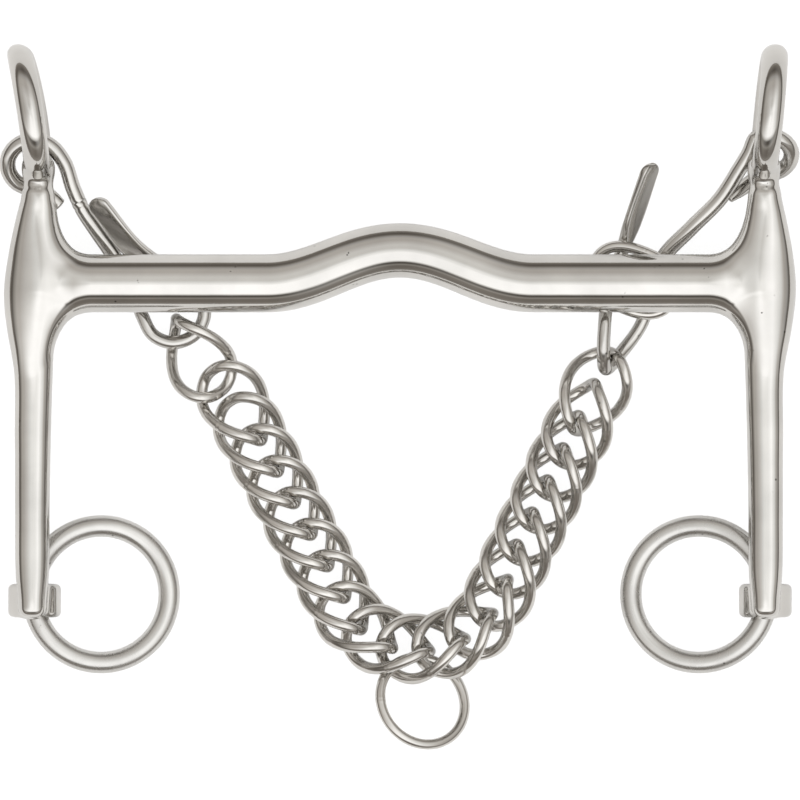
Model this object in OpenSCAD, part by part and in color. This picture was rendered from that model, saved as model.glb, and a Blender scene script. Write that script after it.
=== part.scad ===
// Curb bit with a wide low port, lying flat on its back with its curb chain.
// X runs along the mouthpiece, Y up the cheeks and Z away from the table.
// The origin is on the table, below the middle of the whole bit.

/* [Mouthpiece] */
// Width of the mouth, between the inner faces of the cheeks
mouth_w = 135; // [133:0.5:137]
// Thickness of the bar in its straight parts
bar_d = 11.3; // [10.5:0.1:12]
// Thickness of the bar at the crest of the port
crest_d = 10.6; // [9.5:0.1:11.5]
// Height of the port above the straight parts
port_rise = 6.4; // [2:0.2:8]
// Width of the port along the bar
port_w = 52; // [44:1:60]
// Radius of the fillets where the bar meets a cheek
fillet_r = 8.5; // [7:0.1:9]

/* [Cheeks] */
// Outer diameter of the eye for the bridle's cheekpiece
eye_od = 26.7; // [26:0.1:27.4]
// Thickness of the eye's limb
eye_wire = 4.7; // [4.4:0.1:4.8]
// Outward lean of each eye, in degrees
eye_lean = 5; // [3:0.5:5.5]
// Outer diameter of the barrel eyelet at the foot of a shank
barrel_od = 10.3; // [9.6:0.1:10.3]
// Length of the barrel eyelet
barrel_l = 6.5; // [5.5:0.1:7]
// Bore of the barrel eyelet
barrel_bore = 5.8; // [5.6:0.1:6]

/* [Rings] */
// Outer diameter of a rein ring
rein_od = 30.9; // [29:0.1:31]
// Thickness of a rein ring
rein_wire = 4.2; // [3.9:0.1:4.3]
// Outer diameter of the fly ring, which takes a lip strap
fly_od = 19.8; // [19.4:0.1:20]
// Thickness of the fly ring
fly_wire = 2; // [1.8:0.1:2.1]

/* [Curb hooks] */
// Outer diameter of the closed loop round a cheek's eye
loop_od = 13.2; // [13:0.1:13.4]
// Thickness of the loop and of the hook's upper body
loop_wire = 3.1; // [2.9:0.1:3.2]
// Thickness of the hook's bend
bend_wire = 2.6; // [2.3:0.1:2.7]
// Width of the flat thumb tail
tail_w = 4.6; // [4:0.1:4.8]
// Thickness of the flat thumb tail
tail_t = 1.6; // [1.4:0.1:1.8]

/* [Curb chain] */
// Length of a link outside
link_l = 18.9; // [18.8:0.05:19]
// Width of a link outside
link_w = 14.2; // [14:0.05:14.3]
// Thickness of a link
link_wire = 2.2; // [1.8:0.05:2.25]
// Distance between neighbouring links along the chain
link_pitch = 6.97; // [6.9:0.01:7]
// Twist of a link from its middle to either end, in degrees
link_twist = 61; // [60:0.5:62]

/* [Hidden] */

// Heights and places that the pieces share
bar_y = 22.2;                           // the bar's straight parts
bar_z = 13;
cheek_half = 4.1;                       // from a cheek's inner face to its middle
cheek_x = mouth_w / 2 + cheek_half;
eye_r = (eye_od - eye_wire) / 2;        // middle of the eye's limb
eye_y = bar_y + 33.2;
eye_z = eye_od / 2;
barrel_x = cheek_x - 0.2;               // the shank's own middle
barrel_y = bar_y - 61.9;
barrel_z = barrel_od / 2;
rein_r = (rein_od - rein_wire) / 2;
loop_r = (loop_od - loop_wire) / 2;
left_at = 25;                           // places of the loops round the eyes,
right_at = 43;                          // in degrees backwards from the foot

// ---- Paths and sweeps ----
function unit(v) = v / norm(v);

function between(a, b, c, d, t) =
    0.5 * (2 * b + (c - a) * t + (2 * a - 5 * b + 4 * c - d) * t * t
           + (3 * b - a - 3 * c + d) * t * t * t);

// A smooth run through the stations p, with n steps from each to the next
function smooth(p, n) = [
    for (i = [0 : len(p) - 2], k = [0 : n - 1])
        between(p[max(i - 1, 0)], p[i], p[i + 1], p[min(i + 2, len(p) - 1)], k / n),
    p[len(p) - 1]
];

function tangent(p, i, closed) =
    let (n = len(p),
         a = closed ? p[(i + n - 1) % n] : p[max(i - 1, 0)],
         b = closed ? p[(i + 1) % n] : p[min(i + 1, n - 1)])
    unit(b - a);

// A solid swept along p. wide and high are its half sizes, and aside is the
// direction in which wide is measured.
module sweep(p, wide, high, aside, sides, closed = false) {
    n = len(p);
    points = [
        for (i = [0 : n - 1])
            let (t = tangent(p, i, closed),
                 up = unit(cross(t, aside[i])),
                 out = cross(up, t))
            for (k = [0 : sides - 1])
                let (a = 360 * k / sides)
                p[i] + out * wide[i] * cos(a) + up * high[i] * sin(a)
    ];
    spans = closed ? n : n - 1;
    walls = [
        for (i = [0 : spans - 1], k = [0 : sides - 1])
            let (j = (i + 1) % n, m = (k + 1) % sides)
            each [
                [i * sides + k, j * sides + k, j * sides + m],
                [i * sides + k, j * sides + m, i * sides + m]
            ]
    ];
    first = [for (k = [0 : sides - 1]) k];
    last = [for (k = [sides - 1 : -1 : 0]) (n - 1) * sides + k];
    polyhedron(points, closed ? walls : concat(walls, [first, last]));
}

// ---- Mouthpiece and cheeks ----
weld_x = mouth_w / 2 - fillet_r + 0.8;  // where the bar meets a cheek's fillet
fillet_loss = 1.2;                      // how much thinner the fillet ends, half each side

module mouthpiece() {
    steps = 44;
    xs = [for (i = [0 : steps]) weld_x * (2 * i / steps - 1)];
    hump = [for (x = xs) abs(x) < port_w / 2 ? (1 + cos(360 * x / port_w)) / 2 : 0];
    r = [for (h = hump) (bar_d + (crest_d - bar_d) * h) / 2];
    color("silver")
        sweep([for (i = [0 : steps]) [xs[i], bar_y + port_rise * hump[i], bar_z]],
              r, r, [for (x = xs) [0, 1, 0]], 20);
}

// Stations down a cheek: up from the bar, out from the cheek's middle, height
// above the table, half width and half depth
cheek_stations = [
    [22.2, -1.0, 12.9, 2.3, 2.8],
    [20.3, -1.0, 12.9, 2.7, 3.3],
    [19.2, -1.0, 13.2, 2.9, 4.1],
    [17.5, -1.0, 13.3, 3.1, 4.5],
    [13.2, -0.8, 13.2, 3.6, 4.4],
    [6.0, -0.3, 13.0, 4.8, 5.0],
    [-1.5, 0.4, 13.0, 5.3, 5.6],
    [-9.0, 0.2, 12.7, 4.5, 4.6],
    [-14.0, -0.2, 12.4, 3.9, 3.8],
    [-30.5, -0.2, 12.0, 3.3, 3.5],
    [-45.0, -0.1, 12.0, 3.1, 3.5],
    [-61.5, -0.1, 12.0, 2.8, 3.5],
    [-63.9, -0.1, 12.0, 2.6, 3.1],
    [-64.8, -0.1, 12.0, 1.6, 2.0]
];

// The right-hand cheek. The left one is its mirror image.
module cheek() {
    s = smooth(cheek_stations, 3);
    sweep([for (q = s) [cheek_x + q[1], bar_y + q[0], q[2]]],
          [for (q = s) q[3]], [for (q = s) q[4]], [for (q = s) [1, 0, 0]], 20);
    // the fillet that carries the bar into the cheek
    turn = [for (a = [0 : 11 : 77]) a];
    f = concat([for (a = turn) [weld_x + fillet_r * sin(a), fillet_r * (1 - cos(a)), a / 90]],
               [[cheek_x - 2, fillet_r, 1]]);
    sweep([for (q = f) [q[0], bar_y, bar_z]],
          [for (q = f) bar_d / 2 + q[1]],
          [for (q = f) bar_d / 2 - fillet_loss * q[2] * q[2]],
          [for (q = f) [0, 1, 0]], 20);
    translate([cheek_x, eye_y, eye_z])
        rotate([0, 0, -eye_lean])
            rotate([0, 90, 0])
                rotate_extrude($fn = 72) translate([eye_r, 0]) circle(d = eye_wire, $fn = 32);
    // the barrel eyelet behind the foot of the shank
    translate([barrel_x, barrel_y, barrel_z])
        rotate([90, 0, 0])
            difference() {
                cylinder(d = barrel_od, h = barrel_l, center = true, $fn = 64);
                cylinder(d = barrel_bore, h = barrel_l + 2, center = true, $fn = 64);
            }
}

module left_cheek() {
    color("silver") mirror([1, 0, 0]) cheek();
}

module right_cheek() {
    color("silver") cheek();
}

// ---- Rein rings ----
// How far a ring has slipped outwards and up in its barrel
slip_out = 0.3;
slip_up = 1.2;
rein_tilt = asin((barrel_z - rein_wire / 2) / (2 * rein_r - slip_out));

// The right-hand ring lies inwards from its barrel, with its far side on the table.
module rein_ring() {
    translate([barrel_x, barrel_y, barrel_z])
        rotate([0, -rein_tilt, 0])
            translate([slip_out - rein_r, slip_up, 0])
                rotate_extrude($fn = 96) translate([rein_r, 0]) circle(d = rein_wire, $fn = 32);
}

module left_rein_ring() {
    color("lightgray") mirror([1, 0, 0]) rein_ring();
}

module right_rein_ring() {
    color("lightgray") rein_ring();
}

// ---- Curb hooks ----
loop_x = cheek_x - 0.2;                 // a little outside the limb's middle

// A run of points on a flat arc about c, from angle a to angle b
function arc(c, r, a, b, n) =
    [for (i = [0 : n]) let (t = a + (b - a) * i / n) c + r * [cos(t), sin(t), 0]];

// The left hook's wire from its loop to the bend, the bend, and its thumb tail
left_body = [[-68.2, 49.1, 10.4], [-66.2, 46.2, 9.2], [-61.9, 37.3, 5.9], [-56.6, 28, 3.3],
             [-51.6, 19, 3.2]];
left_bend = arc([-44.3, 16.8, 3.8], 6.1, 190, 350, 4);
left_tail = [[-39.6, 21.1, 4.0], [-44.5, 24.5, 4.2], [-51.7, 28.7, 5.2], [-58.6, 37.1, 8.2]];
left_broad = [0.55, 0.6, 0.57];

// The right hook is turned on edge, so its bend rises from the table
right_body = [[67.9, 49.8, 8.8], [66.3, 46.2, 8.4], [62.4, 39.1, 6.4], [56.8, 33, 4.4],
              [51.8, 27.8, 2.6], [49.0, 22, 1.6], [47.6, 15.1, 1.45]];
right_bend = [[43.4, 8.9, 2.3], [40.2, 5.6, 5.2], [39.7, 9.3, 8.3]];
right_tail = [[39.9, 14, 8.3], [40.4, 18.5, 6.7], [41.5, 23, 4.7], [43.4, 28.5, 3.5],
              [45.2, 33.5, 4.8], [48.6, 43.9, 9.5]];
right_broad = [0.5, -0.2, -0.84];

// A hook's wire thins from its body to the bend and flattens into the tail, whose
// width is measured towards broad. Its loop hangs on the back of the eye, at degrees
// from the eye's foot.
module hook(side, at, body, bend, tail, broad) {
    last = len(body) + len(bend) + len(tail) - 1;
    body_wire = loop_wire - 0.1;
    function flat(i) = max(0, min(1, i - last + 2));
    function wire(i) = i < len(body) - 1 ? body_wire : bend_wire;
    stations = [
        for (i = [0 : last])
            let (p = concat(body, bend, tail)[i], f = flat(i), r = wire(i) / 2)
            [p[0], p[1], p[2], r + (tail_w / 2 - r) * f, r + (tail_t / 2 - r) * f]
    ];
    s = smooth(stations, 4);
    sweep([for (q = s) [q[0], q[1], q[2]]], [for (q = s) q[3]], [for (q = s) q[4]],
          [for (q = s) broad], 12);
    translate([side * loop_x, eye_y - eye_r * cos(at), eye_z - eye_r * sin(at)])
        rotate([at, 0, 0])
            rotate_extrude($fn = 64) translate([loop_r, 0]) circle(d = loop_wire, $fn = 32);
}

module left_curb_hook() {
    color("gainsboro") hook(-1, left_at, left_body, left_bend, left_tail, left_broad);
}

module right_curb_hook() {
    color("gainsboro") hook(1, right_at, right_body, right_bend, right_tail, right_broad);
}

// ---- Curb chain ----
links = 20;
long_r = (link_l - link_wire) / 2;
wide_r = (link_w - link_wire) / 2;
chain_z = 5.6;
// The chain runs down from link 2, round a bend and up to the last link
chain_start = [-31.8, -1.5];
chain_head = -62;
leg_l = 43.3;
bend_r = 17;
bend_turn = 126.4;
bend_l = bend_r * bend_turn * PI / 180;
leg_end = chain_start + leg_l * [cos(chain_head), sin(chain_head)];
bend_c = leg_end + bend_r * [-sin(chain_head), cos(chain_head)];

// Heading of the chain at the distance u from link 2
function heading(u) =
    chain_head + bend_turn * max(0, min(1, (u - leg_l) / bend_l));

function bend_point(h) = bend_c + bend_r * [sin(h), -cos(h)];

function chain_point(u) =
    u < leg_l
        ? chain_start + u * [cos(chain_head), sin(chain_head)]
        : bend_point(heading(u)) + max(0, u - leg_l - bend_l) * [cos(heading(u)), sin(heading(u))];

// Place, heading, tip and roll of each link. The two end links lie on their hooks.
first_pose = [-39.75, 8, 5.65, -61.7, 2.4, 26.5];
last_pose = [37.95, 1.05, 5.4, 64.5, -2.6, 8.3];

function link_pose(i) =
    i == 1 ? first_pose :
    i == links ? last_pose :
    let (u = (i - 2) * link_pitch,
         p = chain_point(u),
         bent = u > leg_l && u < leg_l + bend_l ? 1 : 0)
    [p[0], p[1], chain_z, heading(u) + 6 + bent, -5 * bent, -20 - 7 * bent];

// A blunt oval in its own plane, twisted about its length
function blunt(v) = sign(v) * pow(abs(v), 0.8);
function link_point(a, twist) =
    let (x = long_r * blunt(cos(a)),
         y = wide_r * blunt(sin(a)),
         t = twist * x / long_r)
    [x, y * cos(t), y * sin(t)];

module oval(twist) {
    p = [for (a = [0 : 12 : 348]) link_point(a, twist)];
    r = [for (q = p) link_wire / 2];
    sweep(p, r, r, p, 8, closed = true);
}

module lay(pose) {
    translate([pose[0], pose[1], pose[2]]) rotate([0, 0, pose[3]]) rotate([0, pose[4], 0])
        rotate([pose[5], 0, 0]) children();
}

module chain_link(i) {
    color(i % 2 == 0 ? "darkgray" : "silver") lay(link_pose(i)) oval(-link_twist);
}

// A spare oval link threaded on the right hook's tail
spare_pose = [45.7, 22.9, 5.05, -21.6, -2.4, 13.2];

module spare_link() {
    color("darkgray") lay(spare_pose) oval(0);
}

// The fly ring leans on the table in the chain's lowest link
fly_at = [4.4, -59.3, 5.5];
fly_lean = 23.5;
fly_tip = -19.2;

module fly_ring() {
    color("lightgray")
        translate(fly_at)
            rotate([0, fly_lean, 0])
                rotate([fly_tip, 0, 0])
                    rotate_extrude($fn = 80)
                        translate([(fly_od - fly_wire) / 2, 0]) circle(d = fly_wire, $fn = 24);
}

mouthpiece();
left_cheek();
right_cheek();
left_rein_ring();
right_rein_ring();
left_curb_hook();
right_curb_hook();
spare_link();
fly_ring();
chain_link(1);  // chain_link_01
chain_link(2);  // chain_link_02
chain_link(3);  // chain_link_03
chain_link(4);  // chain_link_04
chain_link(5);  // chain_link_05
chain_link(6);  // chain_link_06
chain_link(7);  // chain_link_07
chain_link(8);  // chain_link_08
chain_link(9);  // chain_link_09
chain_link(10);  // chain_link_10
chain_link(11);  // chain_link_11
chain_link(12);  // chain_link_12
chain_link(13);  // chain_link_13
chain_link(14);  // chain_link_14
chain_link(15);  // chain_link_15
chain_link(16);  // chain_link_16
chain_link(17);  // chain_link_17
chain_link(18);  // chain_link_18
chain_link(19);  // chain_link_19
chain_link(20);  // chain_link_20
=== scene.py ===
import math

import bpy
import numpy as np
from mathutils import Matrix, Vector


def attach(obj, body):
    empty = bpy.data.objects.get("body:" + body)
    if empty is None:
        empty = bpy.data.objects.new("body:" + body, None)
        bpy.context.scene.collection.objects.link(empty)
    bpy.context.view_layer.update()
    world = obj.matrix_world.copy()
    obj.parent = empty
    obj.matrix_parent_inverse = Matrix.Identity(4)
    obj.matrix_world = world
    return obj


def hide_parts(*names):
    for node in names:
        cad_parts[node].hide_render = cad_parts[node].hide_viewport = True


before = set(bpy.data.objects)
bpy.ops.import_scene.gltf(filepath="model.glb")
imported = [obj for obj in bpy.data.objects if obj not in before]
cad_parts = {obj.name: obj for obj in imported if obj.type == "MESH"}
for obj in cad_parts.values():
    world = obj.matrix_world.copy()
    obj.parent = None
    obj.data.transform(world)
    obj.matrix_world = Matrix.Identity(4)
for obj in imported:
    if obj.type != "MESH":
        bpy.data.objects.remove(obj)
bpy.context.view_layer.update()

# Shapes are worked out in millimetres and written to meshes in metres.
MM = 0.001

# ---- Driving dimensions, in the CAD part's frame ----
MOUTH_W = 135.0
BAR_D, CREST_D = 11.3, 10.6
PORT_W, PORT_RISE = 52.0, 6.4
FILLET_R = 8.5
BAR_Y, BAR_Z = 22.2, 13.0
CHEEK_X = MOUTH_W / 2 + 4.1
WELD_X = MOUTH_W / 2 - FILLET_R + 0.8
EYE_R, EYE_WIRE, EYE_WIDE = 11.0, 4.7, 5.1
EYE_Y, EYE_Z = BAR_Y + 33.2, 13.35
BARREL_X, BARREL_Y, BARREL_Z = CHEEK_X - 0.2, BAR_Y - 61.9, 5.15
BARREL_D, BARREL_L, BARREL_BORE = 10.3, 6.5, 5.8
BEND_WIRE, TAIL_W, TAIL_T = 2.6, 4.6, 1.6
LINKS, LINK_L, LINK_W, LINK_WIRE, LINK_TWIST = 20, 18.9, 14.2, 2.2, math.radians(61)
FLY_R, FLY_WIRE = 8.9, 2.0
REIN_R, REIN_WIRE = 13.35, 4.2

# What differs between the sides is held by side: -1 is the left and 1 the right.
# A hook's loop: its radius and wire, how far round the eye it hangs, and the angles in
# degrees between which it runs
LOOP_R, LOOP_WIRE = {-1: 5.15, 1: 5.05}, 3.1
LOOP_AT = {-1: math.radians(25), 1: math.radians(43)}
LOOP_FROM, LOOP_TO = -75, {-1: 135, 1: 108}

# Down a cheek: up from the bar, out from its middle, height, half width, half depth
CHEEK = [
    (19.0, -0.95, 14.7, 2.85, 3.0),
    (16.5, -1.0, 14.7, 3.15, 3.2),
    (13.2, -0.9, 14.3, 3.8, 3.3),
    (6.0, -0.3, 13.7, 4.9, 3.7),
    (-1.5, 0.3, 13.1, 5.2, 4.4),
    (-9.0, 0.2, 12.7, 4.6, 4.1),
    (-14.0, -0.2, 12.4, 4.0, 3.7),
    (-30.5, -0.2, 12.0, 3.5, 3.5),
    (-45.0, -0.1, 12.0, 3.35, 3.5),
    (-57.0, -0.1, 12.0, 3.2, 3.4),
    (-62.0, -0.1, 12.0, 2.8, 3.4),
    (-65.0, -0.1, 12.0, 2.7, 3.2),
]
# How flat a cheek's front is: 2 would make it an oval
CHEEK_POWER = 2.5
# How far each side's shank and neck stand out of their mirrored places
SHANK_SHIFT = {-1: 0.1, 1: -0.3}
NECK_SHIFT = {-1: -0.25, 1: 0.3}
# The slim neck behind the dome: its top, place, height, half width and half depth
NECK_TOP, NECK_OUT, NECK_Z, NECK_WIDE, NECK_DEEP = 23.4, -0.95, 12.7, 2.65, 3.7
NECK_POWER = 3
# Each eye's shift, and how much it leans and bends for each millimetre up from its middle
EYE_BEND = {-1: (0.0, 0.155, 0.004), 1: (0.2, 0.095, 0.0)}
# Fillets of the welds and of the castings, and the rounding of their ends
BAR_FILLET, EYE_FILLET, BARREL_FILLET, NECK_FILLET = 4.5, 2.4, 1.8, 1.4
BAR_END_ROUND, CHEEK_END_ROUND, NECK_END_ROUND, BARREL_ROUND, BORE_ROUND = 5, 2.0, 0.5, 1.1, 0.3
# How much shallower the bar gets as it opens into a cheek, and how far past its middle it goes
TRUMPET_THINNING, BAR_PAST_CHEEK = 1.7, 1
# The skin's grid, and how often its points are spread evenly
SKIN_GRID, EVENING_ROUNDS = 0.3, 6


# ---- Curves ----
def smooth_run(points, steps, measured=3):
    """A smooth run through the points, with that many steps from each to the next.
    The distances between the points, in their first few numbers, set how fast it turns."""
    p = np.array(points, float)
    gap = np.linalg.norm(np.diff(p[:, :measured], axis=0), axis=1)
    rate = np.diff(p, axis=0) / gap[:, None]
    slope = np.vstack([rate[:1], (rate[:-1] * gap[1:, None] + rate[1:] * gap[:-1, None])
                       / (gap[1:] + gap[:-1])[:, None], rate[-1:]])
    t = np.linspace(0, 1, steps, endpoint=False)[:, None]
    out = []
    for a, b, m, n, g in zip(p[:-1], p[1:], slope[:-1], slope[1:], gap):
        out.append((2 * t**3 - 3 * t**2 + 1) * a + (t**3 - 2 * t**2 + t) * g * m
                   + (3 * t**2 - 2 * t**3) * b + (t**3 - t**2) * g * n)
    return np.vstack(out + [p[-1:]])


def unit(v):
    return v / np.maximum(np.linalg.norm(v, axis=-1, keepdims=True), 1e-12)


def distance_along(path):
    """How far along the path each of its points is."""
    step = np.linalg.norm(np.diff(path, axis=0), axis=1)
    return np.concatenate([[0], np.cumsum(step)])


# ---- The welded bit as one smooth solid ----
def joined(a, b, k):
    """Two solids' distances joined, with a fillet of about k between them."""
    h = np.maximum(k - np.abs(a - b), 0) / k
    return np.minimum(a, b) - h * h * k / 4


def oval_distance(u, v, half_u, half_v, power=2.0):
    """Distance to an oval tube, given the place across it and its half sizes."""
    a, b = np.abs(u) / half_u, np.abs(v) / half_v
    size = np.maximum(a**power + b**power, 1e-9) ** (1 / power)
    slope = np.hypot(a ** (power - 1) / half_u, b ** (power - 1) / half_v) / size ** (power - 1)
    return (size - 1) / np.maximum(slope, 0.05)


def rounded_off(inner, outer, k):
    """What two solids have in common, with its edge rounded by about k."""
    return -joined(-inner, -outer, k)


def bar_distance(x, y, z):
    """The bar with its port, opening like a trumpet into each cheek."""
    inside = np.clip(x / (PORT_W / 2), -1, 1)
    hump = (1 + np.cos(math.pi * inside)) / 2
    slope = PORT_RISE * math.pi / PORT_W * np.sin(math.pi * inside)
    # From 0 at the weld towards 1, which it never quite reaches
    opening = np.maximum((x - WELD_X) / FILLET_R, 0)
    opening = opening / (1 + opening**8) ** 0.125
    r = (BAR_D + (CREST_D - BAR_D) * hump) / 2
    tall = r + FILLET_R * (1 - np.sqrt(1 - opening**2))
    deep = r - TRUMPET_THINNING * opening**2
    across = (y - BAR_Y - PORT_RISE * hump) / np.hypot(1, slope)
    tube = oval_distance(across, z - BAR_Z, tall, deep)
    return rounded_off(tube, x - CHEEK_X - BAR_PAST_CHEEK, BAR_END_ROUND)


CHEEK_RUN = smooth_run(CHEEK, 24, measured=1)[::-1]


def cheek_distance(x, y, z, side):
    """One cheek from its foot to its dome, with the slim neck behind the dome."""
    up = y - BAR_Y
    out, height, wide, deep = (np.interp(up, CHEEK_RUN[:, 0], CHEEK_RUN[:, i]) for i in range(1, 5))
    low, high = (np.where(side > 0, s[1], s[-1]) for s in (SHANK_SHIFT, NECK_SHIFT))
    overlap, fade = 6, 20
    shift = np.clip((up + overlap) / fade, 0, 1) * high + np.clip((overlap - up) / fade, 0, 1) * low
    d = oval_distance(x - CHEEK_X - out - shift, z - height, wide, deep, CHEEK_POWER)
    ends = np.maximum(up - CHEEK_RUN[-1, 0], CHEEK_RUN[0, 0] - up)
    aside = x - CHEEK_X - NECK_OUT - shift
    neck = oval_distance(aside, z - NECK_Z, NECK_WIDE, NECK_DEEP, NECK_POWER)
    neck = rounded_off(neck, np.maximum(up - NECK_TOP, -up), NECK_END_ROUND)
    return joined(rounded_off(d, ends, CHEEK_END_ROUND), neck, NECK_FILLET)


def eye_distance(x, y, z, side):
    """An eye's ring, which leans and bends sideways as it goes up."""
    up = y - EYE_Y
    shift, lean, bend = (np.where(side > 0, a, b) for a, b in zip(EYE_BEND[1], EYE_BEND[-1]))
    aside = (x - CHEEK_X - shift - lean * up - bend * up**2) / np.hypot(1, lean)
    return oval_distance(aside, np.hypot(up, z - EYE_Z) - EYE_R, EYE_WIDE / 2, EYE_WIRE / 2)


def barrel_distance(x, y, z):
    """A short cylinder along Y with rounded edges."""
    r = np.hypot(x - BARREL_X, z - BARREL_Z)
    wall = r - BARREL_D / 2 + BARREL_ROUND
    end = np.abs(y - BARREL_Y) - BARREL_L / 2 + BARREL_ROUND
    past_edge = np.hypot(np.maximum(wall, 0), np.maximum(end, 0))
    return past_edge + np.minimum(np.maximum(wall, end), 0) - BARREL_ROUND


def bore_distance(x, y, z):
    """The barrel's bore, flared a little at both mouths."""
    r = np.hypot(x - BARREL_X, z - BARREL_Z)
    along = np.abs(y - BARREL_Y)
    flare_from, flare = 1.0, 0.35
    to_mouth = np.clip(along - BARREL_L / 2 + flare_from, 0, 1.2)
    return np.maximum(r - BARREL_BORE / 2 - flare * to_mouth**2, along - BARREL_L)


def bit_distance(p):
    """The whole welded bit. It is nearly symmetric, so x is taken outwards."""
    side, x, y, z = np.sign(p[:, 0]), np.abs(p[:, 0]), p[:, 1], p[:, 2]
    d = joined(bar_distance(x, y, z), cheek_distance(x, y, z, side), BAR_FILLET)
    d = joined(d, eye_distance(x, y, z, side), EYE_FILLET)
    d = joined(d, barrel_distance(x, y, z), BARREL_FILLET)
    return rounded_off(d, -bore_distance(x, y, z), BORE_ROUND)


def outward(p, distance):
    """The distance's slope at each point, by central differences."""
    h = 0.02
    axes = np.eye(3) * h
    return np.stack([(distance(p + a) - distance(p - a)) / (2 * h) for a in axes], axis=1)


def settle(p, distance, rounds):
    """Draws points onto the solid's surface, in steps that are never long."""
    longest, least_slope = 0.8, 0.2
    for _ in range(rounds):
        slope = outward(p, distance)
        step = distance(p) / np.maximum((slope**2).sum(axis=1), least_slope)
        p = p - np.clip(step, -longest, longest)[:, None] * slope
    return p


def evened(p, edges, normals):
    """Slides each point along the surface, halfway to the middle of its neighbours."""
    total, count = np.zeros_like(p), np.zeros(len(p))
    for a, b in ((0, 1), (1, 0)):
        np.add.at(total, edges[:, a], p[edges[:, b]])
        np.add.at(count, edges[:, a], 1)
    move = total / count[:, None] - p
    return p + 0.5 * (move - (move * normals).sum(axis=1, keepdims=True) * normals)


def merged_cad(nodes):
    """One mesh object from copies of those CAD nodes' meshes."""
    coords, faces, base = [], [], 0
    for node in nodes:
        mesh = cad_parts[node].data
        co = np.zeros(len(mesh.vertices) * 3, np.float32)
        mesh.vertices.foreach_get("co", co)
        coords.append(co.reshape(-1, 3))
        faces += [[base + v for v in f.vertices] for f in mesh.polygons]
        base += len(mesh.vertices)
    mesh = bpy.data.meshes.new("merged")
    mesh.from_pydata(np.vstack(coords).tolist(), [], faces)
    return new_object("merged", mesh)


def new_object(name, mesh):
    obj = bpy.data.objects.new(name, mesh)
    bpy.context.scene.collection.objects.link(obj)
    return obj


def bit_mesh():
    """The bar and both cheeks as one seamless skin."""
    rough = merged_cad(["mouthpiece", "left_cheek", "right_cheek"])
    remesh = rough.modifiers.new("skin", "REMESH")
    remesh.mode = "VOXEL"
    remesh.voxel_size = SKIN_GRID * MM
    graph = bpy.context.evaluated_depsgraph_get()
    mesh = bpy.data.meshes.new_from_object(rough.evaluated_get(graph))
    bpy.data.objects.remove(rough)
    p = np.zeros(len(mesh.vertices) * 3)
    mesh.vertices.foreach_get("co", p)
    p = p.reshape(-1, 3) / MM
    edges = np.zeros(len(mesh.edges) * 2, int)
    mesh.edges.foreach_get("vertices", edges)
    edges = edges.reshape(-1, 2)
    p = settle(p, bit_distance, 6)
    for _ in range(EVENING_ROUNDS):
        p = evened(p, edges, unit(outward(p, bit_distance)))
        p = settle(p, bit_distance, 2)
    mesh.vertices.foreach_set("co", (p * MM).ravel())
    mesh.update()
    mesh.shade_smooth()
    mesh.normals_split_custom_set_from_vertices(unit(outward(p, bit_distance)))
    return mesh


# ---- Wires ----
def wire_mesh(name, path, wide, high, aside, sides, closed=False, square=1.0):
    """A wire swept along the path. wide and high are its half sizes, and wide is
    measured towards aside. square is 1 on a round wire and less on a flatter one."""
    n = len(path)
    if closed:
        ahead = unit(np.roll(path, -1, axis=0) - np.roll(path, 1, axis=0))
    else:
        ahead = unit(np.gradient(path, axis=0))
    up = unit(np.cross(ahead, aside))
    out = np.cross(up, ahead)
    a = np.linspace(0, 2 * math.pi, sides, endpoint=False)
    power = np.broadcast_to(square, (n,))[:, None]
    c = np.sign(np.cos(a)) * np.abs(np.cos(a)) ** power
    s = np.sign(np.sin(a)) * np.abs(np.sin(a)) ** power
    ring = (path[:, None, :]
            + out[:, None, :] * (np.asarray(wide)[:, None] * c)[:, :, None]
            + up[:, None, :] * (np.asarray(high)[:, None] * s)[:, :, None])
    verts = ring.reshape(-1, 3)
    faces = []
    for i in range(n if closed else n - 1):
        j = (i + 1) % n
        for k in range(sides):
            m = (k + 1) % sides
            faces.append((i * sides + k, i * sides + m, j * sides + m, j * sides + k))
    if not closed:
        faces.append(tuple(range(sides)))
        faces.append(tuple((n - 1) * sides + k for k in reversed(range(sides))))
    mesh = bpy.data.meshes.new(name)
    mesh.from_pydata((verts * MM).tolist(), [], faces)
    mesh.shade_smooth()
    return mesh


def rounded_ends(path, wide, high, first, last, steps=6):
    """Adds a rounded tip of the given depth at each end of a wire."""
    smallest = 0.03

    def tip(end, inner, depth, w, h):
        way = unit(end - inner)
        lean = [math.pi / 2 * (i + 1) / steps for i in range(steps)]
        keep = [max(math.cos(t), smallest) for t in lean]
        middles = [end + way * depth * math.sin(t) for t in lean]
        return middles, [w * k for k in keep], [h * k for k in keep]

    p0, w0, h0 = tip(path[0], path[1], first, wide[0], high[0])
    p1, w1, h1 = tip(path[-1], path[-2], last, wide[-1], high[-1])
    return (np.vstack([p0[::-1], path, p1]), np.concatenate([w0[::-1], wide, w1]),
            np.concatenate([h0[::-1], high, h1]))


def weld(along, total, at, size, swell):
    """How much a butt weld at that place swells the wire, with a fine line at its middle."""
    off = np.abs(along - at)
    off = np.minimum(off, total - off)
    line_depth, line_size = 1.2 * swell, 0.22 * size
    return 1 + swell * np.exp(-(off / size) ** 2) - line_depth * np.exp(-(off / line_size) ** 2)


def ring_mesh(name, place, r, wire, weld_at, swell=0.03, stations=256, sides=28):
    """A closed ring in the plane of place, with its butt weld at that angle."""
    a = np.linspace(0, 2 * math.pi, stations, endpoint=False)
    local = np.stack([r * np.cos(a), r * np.sin(a), 0 * a], axis=1)
    weld_size = 0.5
    fat = weld(a * r, 2 * math.pi * r, (weld_at % (2 * math.pi)) * r, weld_size, swell) * wire / 2
    turn, centre = place
    return wire_mesh(name, local @ turn.T + centre, fat, fat, local @ turn.T, sides, closed=True)


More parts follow.
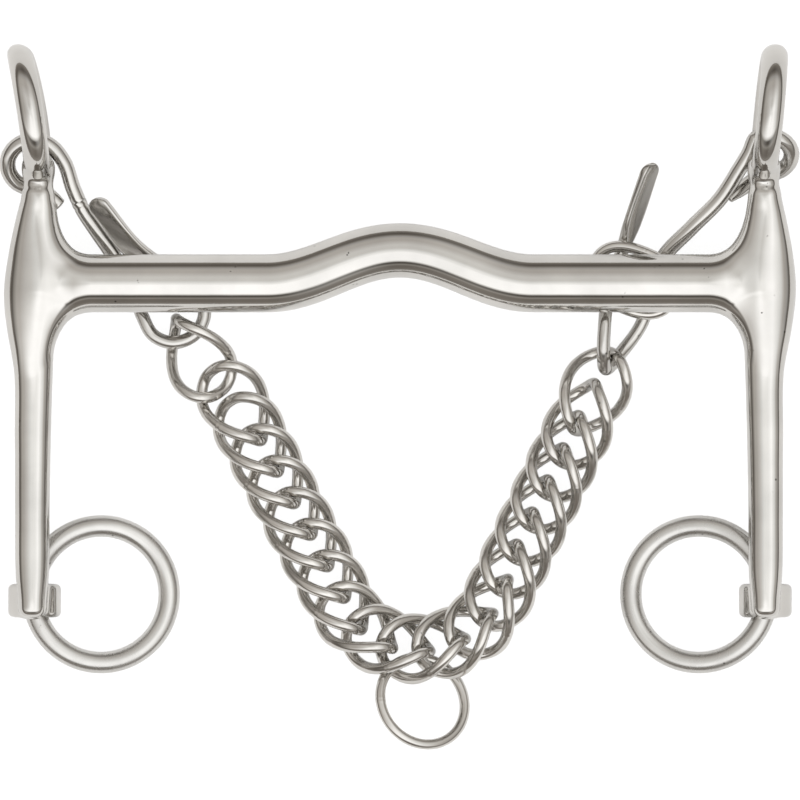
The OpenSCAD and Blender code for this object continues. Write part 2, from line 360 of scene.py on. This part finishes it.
def blunted(v, power=0.8):
    """A cosine or sine that turns its circle into a blunter one."""
    return np.sign(v) * np.abs(v) ** power


def link_mesh(name, place, twist, weld_at, stations=200, sides=20):
    """A blunt oval twisted about its length, with its butt weld at that share of its run."""
    a = np.linspace(0, 2 * math.pi, stations, endpoint=False)
    long_r, wide_r = (LINK_L - LINK_WIRE) / 2, (LINK_W - LINK_WIRE) / 2
    x, y = long_r * blunted(np.cos(a)), wide_r * blunted(np.sin(a))
    t = twist * x / long_r
    local = np.stack([x, y * np.cos(t), y * np.sin(t)], axis=1)
    local = even_spacing(local, stations)
    along = np.arange(stations) / stations
    weld_size, swell = 0.012, 0.05
    fat = weld(along, 1, weld_at % 1, weld_size, swell) * LINK_WIRE / 2
    turn, centre = place
    path = local @ turn.T + centre
    return wire_mesh(name, path, fat, fat, local @ turn.T, sides, closed=True)


def even_spacing(path, n):
    """The same closed path with its points evenly spaced."""
    ring = np.vstack([path, path[:1]])
    s = distance_along(ring)
    at = np.linspace(0, s[-1], n, endpoint=False)
    return np.stack([np.interp(at, s, ring[:, i]) for i in range(3)], axis=1)


def place_of(node):
    """A CAD node's own axes, longest first, and its centre of mass, in millimetres."""
    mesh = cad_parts[node].data
    mesh.calc_loop_triangles()
    co = np.array([v.co for v in mesh.vertices], float) / MM
    tri = co[np.array([t.vertices for t in mesh.loop_triangles])]
    volume = np.einsum("ij,ij->i", tri[:, 0], np.cross(tri[:, 1], tri[:, 2])) / 6
    centre = (volume[:, None] * tri.sum(axis=1) / 4).sum(axis=0) / volume.sum()
    tri = tri - centre
    volume = np.einsum("ij,ij->i", tri[:, 0], np.cross(tri[:, 1], tri[:, 2])) / 6
    total = tri.sum(axis=1)
    spread = (np.einsum("i,ij,ik->jk", volume, total, total)
              + np.einsum("i,inj,ink->jk", volume, tri, tri)) / 20
    _, axes = np.linalg.eigh(spread)
    long_way, wide_way = axes[:, 2], axes[:, 1]
    return np.stack([long_way, wide_way, np.cross(long_way, wide_way)], axis=1), centre


def flat_ring_place(node):
    """A ring's plane and centre, with its first axis towards +X."""
    turn, centre = place_of(node)
    normal = turn[:, 2] * np.sign(turn[2, 2] or 1)
    first = unit(np.array([1.0, 0, 0]) - normal[0] * normal)
    return np.stack([first, np.cross(normal, first), normal], axis=1), centre


# ---- Curb hooks ----
# END runs from the cut end beside the neck to the loop. BODY runs down from the loop,
# BEND round under the bar, and TAIL along the flat thumb tail.
LEFT_END = [(-66.6, 37.5, 6.2), (-68.5, 39.3, 6.3)]
LEFT_BODY = [(-65.7, 46.2, 9.2), (-63.8, 40.8, 7.1), (-62.3, 37.3, 5.9), (-59.2, 32.4, 4.4),
             (-56.2, 28, 3.3), (-51.6, 19, 3.2)]
LEFT_TAIL = [(-39.6, 21.1, 4.0), (-44.5, 24.5, 4.2), (-51.7, 28.7, 5.2), (-58.6, 37.1, 8.2)]
RIGHT_END = [(64.6, 38.7, 6.6), (66.0, 40.0, 5.8), (68.4, 41.9, 4.2)]
RIGHT_BODY = [(68.0, 47.5, 8.6), (66.0, 44.2, 7.7), (62.9, 39.3, 6.3), (56.8, 33, 4.4),
              (51.8, 27.8, 2.6), (49.0, 22, 1.6), (47.6, 15.1, 1.45)]
RIGHT_BEND = [(43.4, 8.9, 2.3), (40.2, 5.6, 5.2), (39.7, 9.3, 8.3)]
RIGHT_TAIL = [(39.9, 14, 8.3), (40.4, 18.5, 6.7), (41.5, 23, 4.7), (43.4, 28.5, 3.5),
              (45.2, 33.5, 4.8), (48.6, 43.9, 9.5)]
# Where each hook's seam crosses it, the direction in which its tail is broad, and
# how thick the points of its END are next to the rest of the wire
LEFT_SEAM, RIGHT_SEAM = (-62.3, 37.3, 5.9), (61.6, 38.2, 6.2)
LEFT_BROAD, RIGHT_BROAD = (0.55, 0.58, 0.62), (0.5, -0.2, -0.84)
LEFT_TAPER, RIGHT_TAPER = (0.95, 1.0), (0.4, 0.75, 1.0)
# The seam's groove: its depth as a share of the wire, and half its width
SEAM_DEPTH, SEAM_HALF = 0.07, 0.15
# How much thinner a hook's body is than its loop
BODY_THINNING = 0.1


def left_bend():
    """Points round the left hook's bend, a flat arc that opens upwards."""
    centre, r = np.array([-44.3, 16.8, 3.8]), 6.1
    angles = np.radians(np.linspace(190, 350, 5))
    return [centre + r * np.array([math.cos(a), math.sin(a), 0]) for a in angles]


def hook_loop(side):
    """Points round the loop, from below the limb, outwards and over it."""
    at, inwards = LOOP_AT[side], 0.18
    limb_y, limb_z = EYE_Y - EYE_R * math.cos(at), EYE_Z - EYE_R * math.sin(at)
    centre = np.array([side * (CHEEK_X - inwards), limb_y, limb_z])
    points = []
    for a in np.radians(np.linspace(LOOP_FROM, LOOP_TO[side], 8)):
        flat = np.array([side * math.cos(a), math.sin(a) * math.cos(at), math.sin(a) * math.sin(at)])
        points.append(centre + LOOP_R[side] * flat)
    return points


def hook_sizes(end, taper, loop, body, count):
    """At each of a hook's points: its half width and half height, how flat it is, and
    how far it has turned from the loop's plane towards the tail's."""
    body_from = len(end) + len(loop)
    bend_from = body_from + len(body) - 1
    sizes = []
    for i in range(count):
        flat = 1 if i >= count - 2 else 0
        thinner = BODY_THINNING if i >= body_from else 0
        r = (LOOP_WIRE - thinner) / 2 if i < bend_from else BEND_WIRE / 2
        r *= taper[i] if i < len(end) else 1
        turned = min(max((i - body_from) / (len(body) - 1), 0), 1)
        sizes.append((r + (TAIL_W / 2 - r) * flat, r + (TAIL_T / 2 - r) * flat, flat, turned))
    return sizes


def hook_mesh(name, side, end, taper, body, bend, tail, seam, broad, steps=14, sides=32):
    """A bent wire from the cut end to the tail, whose last two points are flat."""
    loop = hook_loop(side)
    points = end + loop + body + list(bend) + tail
    sizes = hook_sizes(end, taper, loop, body, len(points))
    run = smooth_run([(*p, *size) for p, size in zip(points, sizes)], steps)
    path, wide, high = run[:, :3], run[:, 3], run[:, 4]
    flat, turned = np.clip(run[:, 5], 0, 1), np.clip(run[:, 6:7], 0, 1)
    from_seam = np.linalg.norm(path - np.array(seam), axis=1)
    groove = 1 - SEAM_DEPTH * np.exp(-(from_seam / SEAM_HALF) ** 2)
    wide, high = wide * groove, high * groove
    tip, cut_depth, tail_depth = 6, 0.35, TAIL_W / 2 * 0.9
    path, wide, high = rounded_ends(path, wide, high, cut_depth, tail_depth, tip)
    squareness = 0.62
    square = 1 - squareness * np.pad(flat, tip, mode="edge")
    turned = np.pad(turned, ((tip, tip), (0, 0)), mode="edge")
    aside = (1 - turned) * unit(np.array([side, 1.0, 0])) + turned * unit(np.array(broad))
    return wire_mesh(name, path, wide, high, aside, sides, square=square)


# ---- Node helpers ----
def maths(tree, operation, *values):
    """A maths node's output. Each value is a number or another node's output."""
    m = tree.nodes.new("ShaderNodeMath")
    m.operation = operation
    for socket, value in zip(m.inputs, values):
        if isinstance(value, (int, float)):
            socket.default_value = value
        else:
            tree.links.new(value, socket)
    return m.outputs[0]


def noise(tree, vector, scale, detail):
    n = tree.nodes.new("ShaderNodeTexNoise")
    n.inputs["Scale"].default_value = scale
    n.inputs["Detail"].default_value = detail
    tree.links.new(vector, n.inputs["Vector"])
    return n.outputs["Fac"]


def ranged(tree, value, from_min, from_max, to_min, to_max):
    """The value mapped from one range to another, and clamped to it."""
    r = tree.nodes.new("ShaderNodeMapRange")
    limits = {"From Min": from_min, "From Max": from_max, "To Min": to_min, "To Max": to_max}
    for socket, number in limits.items():
        r.inputs[socket].default_value = number
    tree.links.new(value, r.inputs["Value"])
    return r.outputs["Result"]


# ---- Steel ----
# How fine the clouds, the waves, the pits and the patches that hold pits are
CLOUD_SCALE, WAVE_SCALE, PIT_SCALE, PATCH_SCALE = 90, 140, 700, 300
# The patches above this level hold pits, so a higher level leaves fewer
PATCH_LEVEL = 0.74
PIT_COLOUR = (0.05, 0.045, 0.04)
LINE_HEIGHT = 0.0000012


def steel(name, tint, roughness, haze, wave, grain):
    """Stainless steel: faint clouds of haze, a hand-polished wave in its reflections,
    fine polishing lines stretched by grain, and a few small pits."""
    mat = bpy.data.materials.new(name)
    mat.use_nodes = True
    tree = mat.node_tree
    nodes, links = tree.nodes, tree.links
    shader = nodes["Principled BSDF"]
    shader.inputs["Metallic"].default_value = 1
    coords = nodes.new("ShaderNodeTexCoord").outputs["Object"]

    clouds = noise(tree, coords, CLOUD_SCALE, 3)
    stretched = nodes.new("ShaderNodeMapping")
    stretched.inputs["Scale"].default_value = grain
    links.new(coords, stretched.inputs["Vector"])
    lines = noise(tree, stretched.outputs["Vector"], 1, 2)
    pits = nodes.new("ShaderNodeTexVoronoi")
    pits.inputs["Scale"].default_value = PIT_SCALE
    links.new(coords, pits.inputs["Vector"])
    chosen = maths(tree, "GREATER_THAN", noise(tree, coords, PATCH_SCALE, 0), PATCH_LEVEL)
    dot = ranged(tree, pits.outputs["Distance"], 0.08, 0.2, 0.75, 0)
    pit = maths(tree, "MULTIPLY", dot, chosen)

    colour = nodes.new("ShaderNodeMix")
    colour.data_type = "RGBA"
    clouded = 0.86
    colour.inputs["A"].default_value = (*tint, 1)
    colour.inputs["B"].default_value = (*[c * clouded for c in tint], 1)
    links.new(ranged(tree, clouds, 0.35, 0.7, 0, 1), colour.inputs["Factor"])
    spotted = nodes.new("ShaderNodeMix")
    spotted.data_type = "RGBA"
    spotted.inputs["B"].default_value = (*PIT_COLOUR, 1)
    links.new(colour.outputs["Result"], spotted.inputs["A"])
    links.new(pit, spotted.inputs["Factor"])
    links.new(spotted.outputs["Result"], shader.inputs["Base Color"])

    hazy = ranged(tree, clouds, 0.3, 0.75, roughness, roughness + haze)
    rough = maths(tree, "ADD", hazy, ranged(tree, lines, 0.45, 0.75, 0, haze))
    links.new(rough, shader.inputs["Roughness"])

    waves = maths(tree, "MULTIPLY", noise(tree, coords, WAVE_SCALE, 1), wave)
    height = maths(tree, "ADD", waves, maths(tree, "MULTIPLY", lines, LINE_HEIGHT))
    bump = nodes.new("ShaderNodeBump")
    bump.inputs["Strength"].default_value = 1
    bump.inputs["Distance"].default_value = 1
    links.new(height, bump.inputs["Height"])
    links.new(bump.outputs["Normal"], shader.inputs["Normal"])
    return mat


# ---- Studio ----
def ramp(nodes, stops, half_range):
    """A colour ramp over an angle in degrees, from minus to plus half_range."""
    r = nodes.new("ShaderNodeValToRGB")
    while len(r.color_ramp.elements) < len(stops):
        r.color_ramp.elements.new(0.5)
    for element, (angle, colour) in zip(r.color_ramp.elements, stops):
        element.position = (angle + half_range) / (2 * half_range)
        element.color = (*colour, 1)
    return r


# The studio's tones, and where each is seen: an angle in degrees from straight up,
# towards the back (+Y) and front, or towards the right (+X) and left
WHITE, BRIGHT, FAIR, PALE = (1, 1, 1), (0.84, 0.84, 0.83), (0.68, 0.68, 0.67), (0.56, 0.55, 0.53)
GREY, WARM, DIM = (0.47, 0.455, 0.435), (0.39, 0.37, 0.345), (0.31, 0.30, 0.285)
TAN, BROWN, DARK = (0.24, 0.225, 0.205), (0.145, 0.13, 0.115), (0.08, 0.072, 0.064)
TO_FRONT_BACK = [(-90, TAN), (-80, BROWN), (-68, BROWN), (-62, TAN), (-56, DARK), (-51, DARK),
                 (-47, PALE), (-42, WHITE), (-8, WHITE), (-3, BRIGHT), (3, FAIR), (10, PALE),
                 (24, PALE), (34, GREY), (44, WARM), (54, WARM), (62, DIM), (70, BROWN),
                 (76, DARK), (84, BROWN), (90, TAN)]
TO_SIDES = [(-90, TAN), (-84, BROWN), (-76, DARK), (-66, TAN), (-53, WARM), (-42, WARM),
            (-30, GREY), (-18, PALE), (-8, FAIR), (0, BRIGHT), (7, BRIGHT), (22, WHITE),
            (32, BRIGHT), (44, FAIR), (58, WARM), (72, DIM), (82, DARK), (90, TAN)]
SKY_STRENGTH, BACKDROP_STRENGTH = 1.55, 1.2


def studio_sky():
    """Soft boxes and dark flags round the table, by direction. The camera sees plain white."""
    world = bpy.data.worlds.new("studio")
    world.use_nodes = True
    bpy.context.scene.world = world
    tree = world.node_tree
    nodes, links = tree.nodes, tree.links
    background = nodes["Background"]
    way = nodes.new("ShaderNodeSeparateXYZ")
    links.new(nodes.new("ShaderNodeTexCoord").outputs["Generated"], way.inputs[0])
    x, y, z = way.outputs

    def seen_towards(axis, stops):
        angle = maths(tree, "ARCTAN2", axis, z)
        r = ramp(nodes, stops, 90)
        links.new(maths(tree, "MULTIPLY_ADD", angle, 1 / math.pi, 0.5), r.inputs["Fac"])
        return r.outputs["Color"]

    mix = nodes.new("ShaderNodeMix")
    mix.data_type = "RGBA"
    across = maths(tree, "MULTIPLY", x, x)
    along = maths(tree, "MULTIPLY", y, y)
    both = maths(tree, "ADD", maths(tree, "ADD", across, along), 0.0001)
    links.new(maths(tree, "DIVIDE", across, both), mix.inputs["Factor"])
    links.new(seen_towards(y, TO_FRONT_BACK), mix.inputs["A"])
    links.new(seen_towards(x, TO_SIDES), mix.inputs["B"])
    links.new(mix.outputs["Result"], background.inputs["Color"])
    background.inputs["Strength"].default_value = SKY_STRENGTH
    plain = nodes.new("ShaderNodeBackground")
    plain.inputs["Color"].default_value = (1, 1, 1, 1)
    plain.inputs["Strength"].default_value = BACKDROP_STRENGTH
    shown = nodes.new("ShaderNodeMixShader")
    links.new(nodes.new("ShaderNodeLightPath").outputs["Is Camera Ray"], shown.inputs["Fac"])
    links.new(background.outputs[0], shown.inputs[1])
    links.new(plain.outputs[0], shown.inputs[2])
    links.new(shown.outputs[0], nodes["World Output"].inputs["Surface"])


def floor():
    """A wide pale round table top. The camera sees through most of it to the white
    backdrop, which keeps shadows faint and shows the chain when it swings below."""
    n, r, see_through = 96, 1.6, 0.75
    angles = [2 * math.pi * i / n for i in range(n)]
    verts = [(r * math.cos(a), r * math.sin(a), 0) for a in angles]
    mesh = bpy.data.meshes.new("floor")
    mesh.from_pydata(verts, [], [tuple(range(n))])
    obj = new_object("floor", mesh)
    mat = bpy.data.materials.new("pale_floor")
    mat.use_nodes = True
    shader = mat.node_tree.nodes["Principled BSDF"]
    shader.inputs["Base Color"].default_value = (0.9, 0.9, 0.9, 1)
    shader.inputs["Roughness"].default_value = 0.9
    shader.inputs["Specular IOR Level"].default_value = 0.1
    nodes, links = mat.node_tree.nodes, mat.node_tree.links
    clear = nodes.new("ShaderNodeBsdfTransparent")
    lit = nodes.new("ShaderNodeMixShader")
    links.new(nodes.new("ShaderNodeLightPath").outputs["Is Camera Ray"], lit.inputs["Fac"])
    backdrop = nodes.new("ShaderNodeMixShader")
    backdrop.inputs["Fac"].default_value = see_through
    links.new(shader.outputs[0], backdrop.inputs[1])
    links.new(clear.outputs[0], backdrop.inputs[2])
    links.new(shader.outputs[0], lit.inputs[1])
    links.new(backdrop.outputs[0], lit.inputs[2])
    links.new(lit.outputs[0], nodes["Material Output"].inputs["Surface"])
    mesh.materials.append(mat)


def key_light():
    """A broad soft light over the table that lifts the floor, unseen in the steel."""
    data = bpy.data.lights.new("key", "AREA")
    data.shape = "DISK"
    data.size = 0.9
    data.energy = 3.4
    lamp = bpy.data.objects.new("key", data)
    lamp.location = (-0.15, -0.25, 1.0)
    lamp.rotation_euler = (Vector((0, 0, 0)) - lamp.location).to_track_quat("-Z", "Y").to_euler()
    lamp.visible_glossy = False
    lamp.visible_camera = False
    bpy.context.scene.collection.objects.link(lamp)


def camera():
    """Straight down from 2 m, with the whole bit just filling the frame's width."""
    data = bpy.data.cameras.new("camera")
    cam = bpy.data.objects.new("camera", data)
    distance, seen_at, seen_w = 2.0, 10 * MM, 155.95 * MM
    data.lens = data.sensor_width * (distance - seen_at) / seen_w
    cam.location = (0, -0.5 * MM, distance)
    bpy.context.scene.collection.objects.link(cam)
    bpy.context.scene.camera = cam
    bpy.context.scene.view_settings.view_transform = "Standard"


# ---- Assembly ----
def add(name, mesh, material, slot, body, *nodes):
    """A finished piece that rides a body and stands in for those CAD nodes."""
    mesh.materials.append(material)
    obj = new_object(name, mesh)
    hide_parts(*nodes)
    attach(obj, body)


def build():
    polished = steel("polished_stainless", (0.66, 0.645, 0.62), 0.035, 0.04, 0.00003, (700, 60, 700))
    satin = steel("satin_stainless", (0.64, 0.63, 0.61), 0.2, 0.08, 0.000008, (300, 300, 300))
    hook_steel = steel("hook_stainless", (0.62, 0.605, 0.58), 0.09, 0.06, 0.00001, (500, 100, 500))
    chain_steel = steel("chain_stainless", (0.66, 0.64, 0.61), 0.06, 0.06, 0.00002, (500, 500, 500))

    add("welded_bit", bit_mesh(), polished, "polished_stainless", "bit",
        "mouthpiece", "left_cheek", "right_cheek")
    for side, barrel_side in (("left", math.pi), ("right", 0)):
        node = f"{side}_rein_ring"
        name = node + "_skin"
        mesh = ring_mesh(name, flat_ring_place(node), REIN_R, REIN_WIRE, barrel_side, 0.01, 288, 40)
        add(name, mesh, satin, "satin_stainless", node, node)
    left = (-1, LEFT_END, LEFT_TAPER, LEFT_BODY, left_bend(), LEFT_TAIL, LEFT_SEAM, LEFT_BROAD)
    right = (1, RIGHT_END, RIGHT_TAPER, RIGHT_BODY, RIGHT_BEND, RIGHT_TAIL, RIGHT_SEAM, RIGHT_BROAD)
    for side, shape in (("left", left), ("right", right)):
        name, node = f"{side}_hook_wire", f"{side}_curb_hook"
        add(name, hook_mesh(name, *shape), hook_steel, "hook_stainless", node, node)
    add("spare_link_wire", link_mesh("spare_link_wire", place_of("spare_link"), 0, 0.25),
        chain_steel, "chain_stainless", "spare_link", "spare_link")
    fly_weld, fly_swell = math.radians(187), 0.06
    mesh = ring_mesh("fly_ring_wire", flat_ring_place("fly_ring"), FLY_R, FLY_WIRE, fly_weld, fly_swell)
    add("fly_ring_wire", mesh, chain_steel, "chain_stainless", "fly_ring", "fly_ring")
    for i in range(1, LINKS + 1):
        node = f"chain_link_{i:02d}"
        # The welds lie on the links' two long sides in turn, each a little off the middle
        weld_side = 0.27 if i % 2 else 0.73
        weld_at = weld_side + 0.02 * math.sin(2.3 * i)
        mesh = link_mesh(node + "_wire", place_of(node), -LINK_TWIST, weld_at)
        add(node + "_wire", mesh, chain_steel, "chain_stainless", node, node)


camera()
studio_sky()
floor()
key_light()
build()
